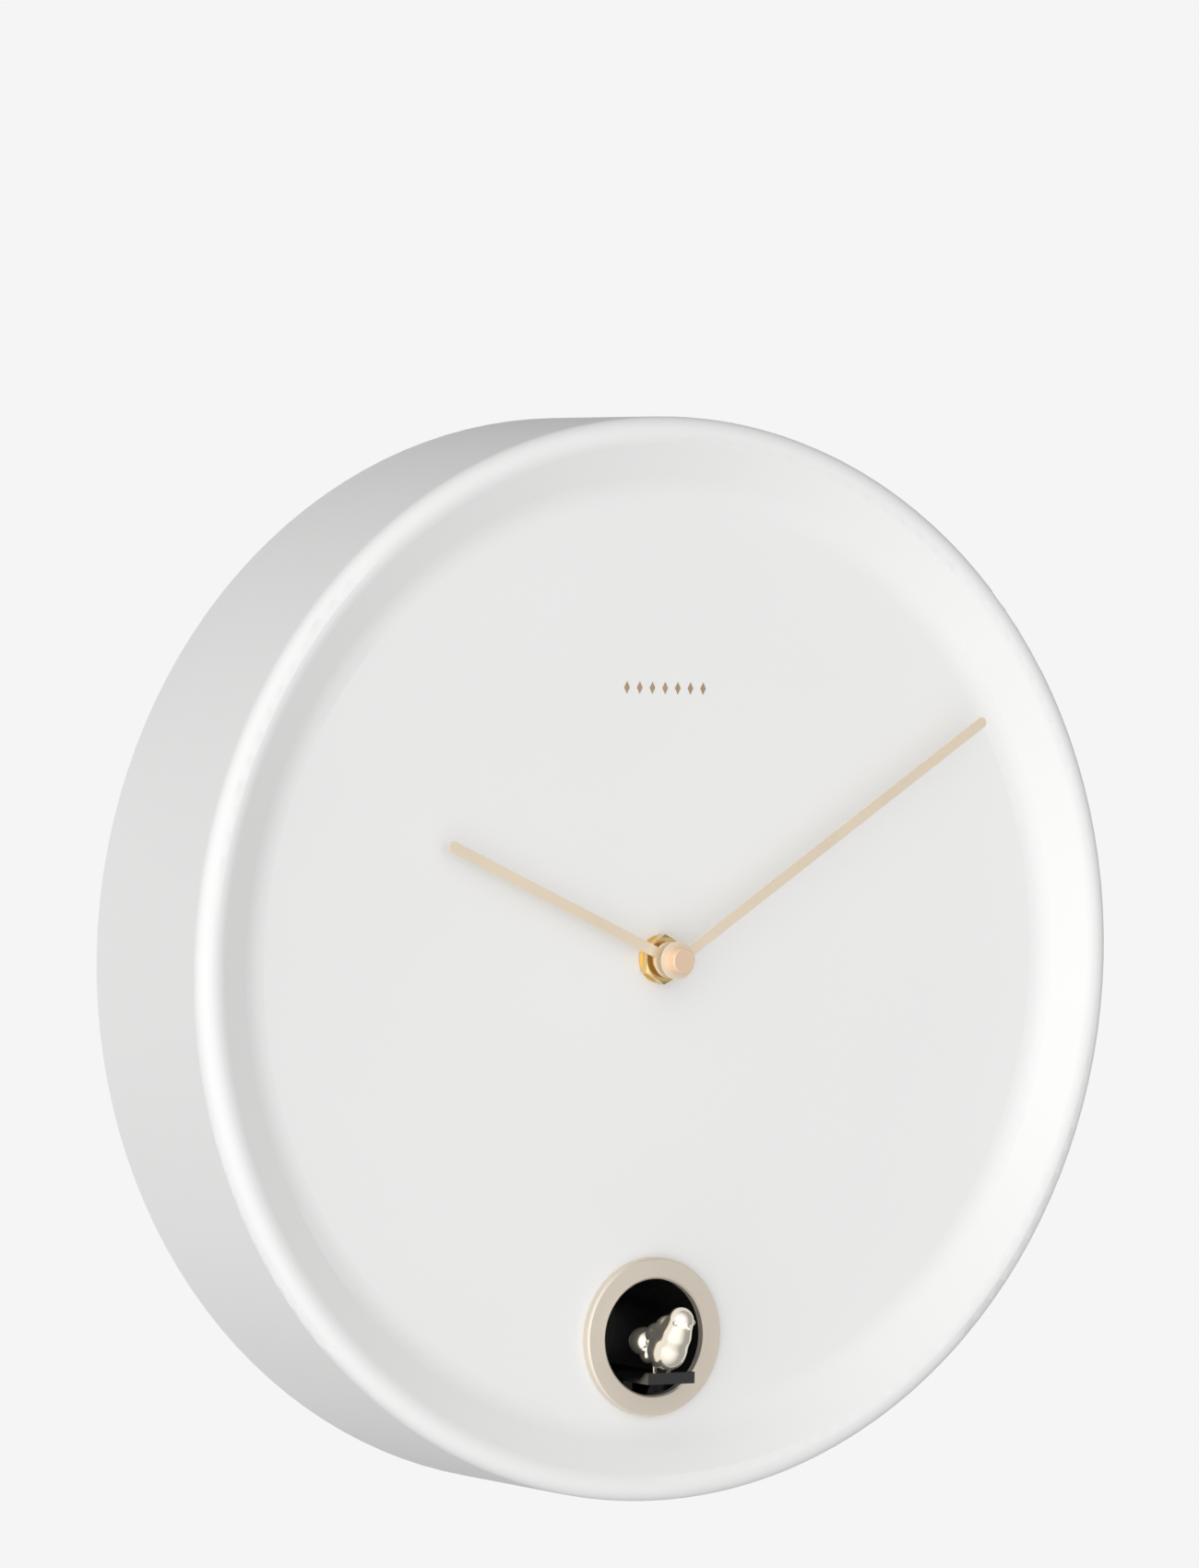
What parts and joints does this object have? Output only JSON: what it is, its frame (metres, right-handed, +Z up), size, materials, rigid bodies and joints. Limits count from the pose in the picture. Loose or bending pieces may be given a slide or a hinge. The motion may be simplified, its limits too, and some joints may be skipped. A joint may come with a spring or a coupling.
{
  "type": "cuckoo clock",
  "caption": "Round white wall clock with a deep drum case, two slim gold hands and a bird on a sliding deck in a ringed porthole.",
  "frame": {"origin": "on the hand axis, in the plane of the wall behind the rear rim", "axes": "+Y into the wall, so the dial faces -Y; +Z up towards twelve; +X to the right of someone facing the dial"},
  "size_m": [0.3, 0.0703, 0.3],
  "materials": {
    "white_abs": "satin white moulded plastic",
    "cover_abs": "fine-textured white moulded plastic",
    "champagne_hand": "champagne lacquered sheet",
    "champagne_satin": "satin champagne metal",
    "rose_brass": "polished rose brass",
    "brass": "polished",
    "gold_print": "gold foil",
    "gold_chrome": "pale gold chrome plating",
    "black_gloss": "gloss black",
    "black_abs": "fine matt",
    "black_rubber": "soft",
    "black_chip": "moulded epoxy",
    "movement_abs": "fine matt",
    "acetal": "natural acetal",
    "steel": "turned",
    "zinc_steel": "zinc plated",
    "nickel": "nickel plated",
    "magnet": "sintered",
    "copper": "enamelled wire",
    "green_board": "solder resist",
    "cell_wrap": "printed sleeve",
    "speaker_paper": "pressed paper",
    "motor_can": "drawn can"
  },
  "bodies": {
    "clock": {"case_shell": "white_abs", "rear_cover": "cover_abs", "cover_screws": "zinc_steel", "hanger_plate": "zinc_steel", "hanger_screws": "zinc_steel", "dial_ornament": "gold_print", "sound_cells": "cell_wrap", "sound_contacts": "nickel", "speaker_basket": "zinc_steel", "speaker_cone": "speaker_paper", "sound_board": "green_board", "sound_board_chips": "black_chip", "board_screws": "zinc_steel", "switch_bodies": "black_chip", "movement_case": "movement_abs", "movement_lid": "movement_abs", "bridge_plate": "movement_abs", "neck_bushing": "brass", "dial_gasket": "black_rubber", "neck_washer": "brass", "neck_nut": "brass", "stator": "steel", "drive_coil": "copper", "movement_board": "green_board", "quartz_crystal": "nickel", "movement_cell": "cell_wrap", "movement_contacts": "nickel", "porthole_ring": "champagne_satin", "bird_tunnel": "black_gloss", "tunnel_screws": "zinc_steel", "gearbox_frame": "black_abs", "gearbox_screws": "zinc_steel", "gear_axle": "steel", "cuckoo_motor": "motor_can", "end_switches": "black_chip"},
    "minute": {"minute_arbor": "steel", "clutch_spring": "brass", "minute_hand": "champagne_hand", "hand_cap": "rose_brass"},
    "hour": {"hour_wheel": "acetal", "hour_hand": "champagne_hand"},
    "motion_work": {"minute_wheel": "acetal"},
    "knob": {"setting_knob": "black_abs"},
    "centre": {"centre_wheel": "acetal"},
    "third": {"third_wheel": "acetal"},
    "seconds": {"seconds_wheel": "acetal"},
    "intermediate": {"intermediate_wheel": "acetal"},
    "rotor": {"rotor": "magnet"},
    "cuckoo": {"carriage": "black_gloss", "bird": "gold_chrome"},
    "drive": {"drive_gear": "acetal"},
    "motor": {"motor_pinion": "brass"},
    "door": {"battery_door": "cover_abs"},
    "slider": {"mode_slider": "black_abs"},
    "button": {"test_button": "black_abs"}
  },
  "joints": [
    {"name": "minute_turn", "type": "hinge", "parent": "clock", "child": "minute", "pos_m": [0, -0.05, 0], "axis": [0, 1, 0], "continuous": true},
    {"name": "hour_turn", "type": "hinge", "parent": "clock", "child": "hour", "pos_m": [0, -0.05, 0], "axis": [0, 1, 0], "continuous": true},
    {"name": "motion_work_turn", "type": "hinge", "parent": "clock", "child": "motion_work", "pos_m": [-0.00679, -0.042, 0.00679], "axis": [0, 1, 0], "continuous": true},
    {"name": "knob_turn", "type": "hinge", "parent": "clock", "child": "knob", "pos_m": [-0.01358, -0.035, 0.01358], "axis": [0, 1, 0], "continuous": true},
    {"name": "seconds_turn", "type": "hinge", "parent": "clock", "child": "seconds", "pos_m": [0.01512, -0.036, 0.01003], "axis": [0, 1, 0], "continuous": true},
    {"name": "third_turn", "type": "hinge", "parent": "clock", "child": "third", "pos_m": [0.00713, -0.036, 0.00713], "axis": [0, 1, 0], "continuous": true},
    {"name": "centre_turn", "type": "hinge", "parent": "clock", "child": "centre", "pos_m": [0, -0.038, 0], "axis": [0, 1, 0], "continuous": true},
    {"name": "intermediate_turn", "type": "hinge", "parent": "clock", "child": "intermediate", "pos_m": [0.01616, -0.034, 0.01594], "axis": [0, 1, 0], "continuous": true},
    {"name": "rotor_turn", "type": "hinge", "parent": "clock", "child": "rotor", "pos_m": [0.01064, -0.036, 0.01692], "axis": [0, 1, 0], "continuous": true},
    {"name": "bird_slide", "type": "slide", "parent": "clock", "child": "cuckoo", "axis": [0, -1, 0], "range_m": [-0.02, 0]},
    {"name": "drive_turn", "type": "hinge", "parent": "clock", "child": "drive", "pos_m": [0, -0.02565, -0.1305], "axis": [1, 0, 0], "range_deg": [-400, 20]},
    {"name": "motor_turn", "type": "hinge", "parent": "clock", "child": "motor", "pos_m": [0.004, -0.03258, -0.137], "axis": [1, 0, 0], "range_deg": [-60, 1100]},
    {"name": "door_slide", "type": "slide", "parent": "clock", "child": "door", "axis": [1, 0, 0], "range_m": [0, 0.006]},
    {"name": "mode_slide", "type": "slide", "parent": "clock", "child": "slider", "axis": [1, 0, 0], "range_m": [-0.003, 0.003]},
    {"name": "button_press", "type": "slide", "parent": "clock", "child": "button", "axis": [0, -1, 0], "range_m": [0, 0.0008], "stiffness_N_per_m": 600}
  ],
  "couplings": [
    {"joint": "hour_turn", "follows": "minute_turn", "ratio": 0.083333},
    {"joint": "motion_work_turn", "follows": "minute_turn", "ratio": -0.33333},
    {"joint": "knob_turn", "follows": "minute_turn", "ratio": 1},
    {"joint": "third_turn", "follows": "seconds_turn", "ratio": -0.13333},
    {"joint": "centre_turn", "follows": "seconds_turn", "ratio": 0.016667},
    {"joint": "intermediate_turn", "follows": "seconds_turn", "ratio": -5},
    {"joint": "rotor_turn", "follows": "seconds_turn", "ratio": 30},
    {"joint": "drive_turn", "follows": "bird_slide", "rad_per_m": 333.33},
    {"joint": "motor_turn", "follows": "bird_slide", "rad_per_m": -933.33}
  ]
}
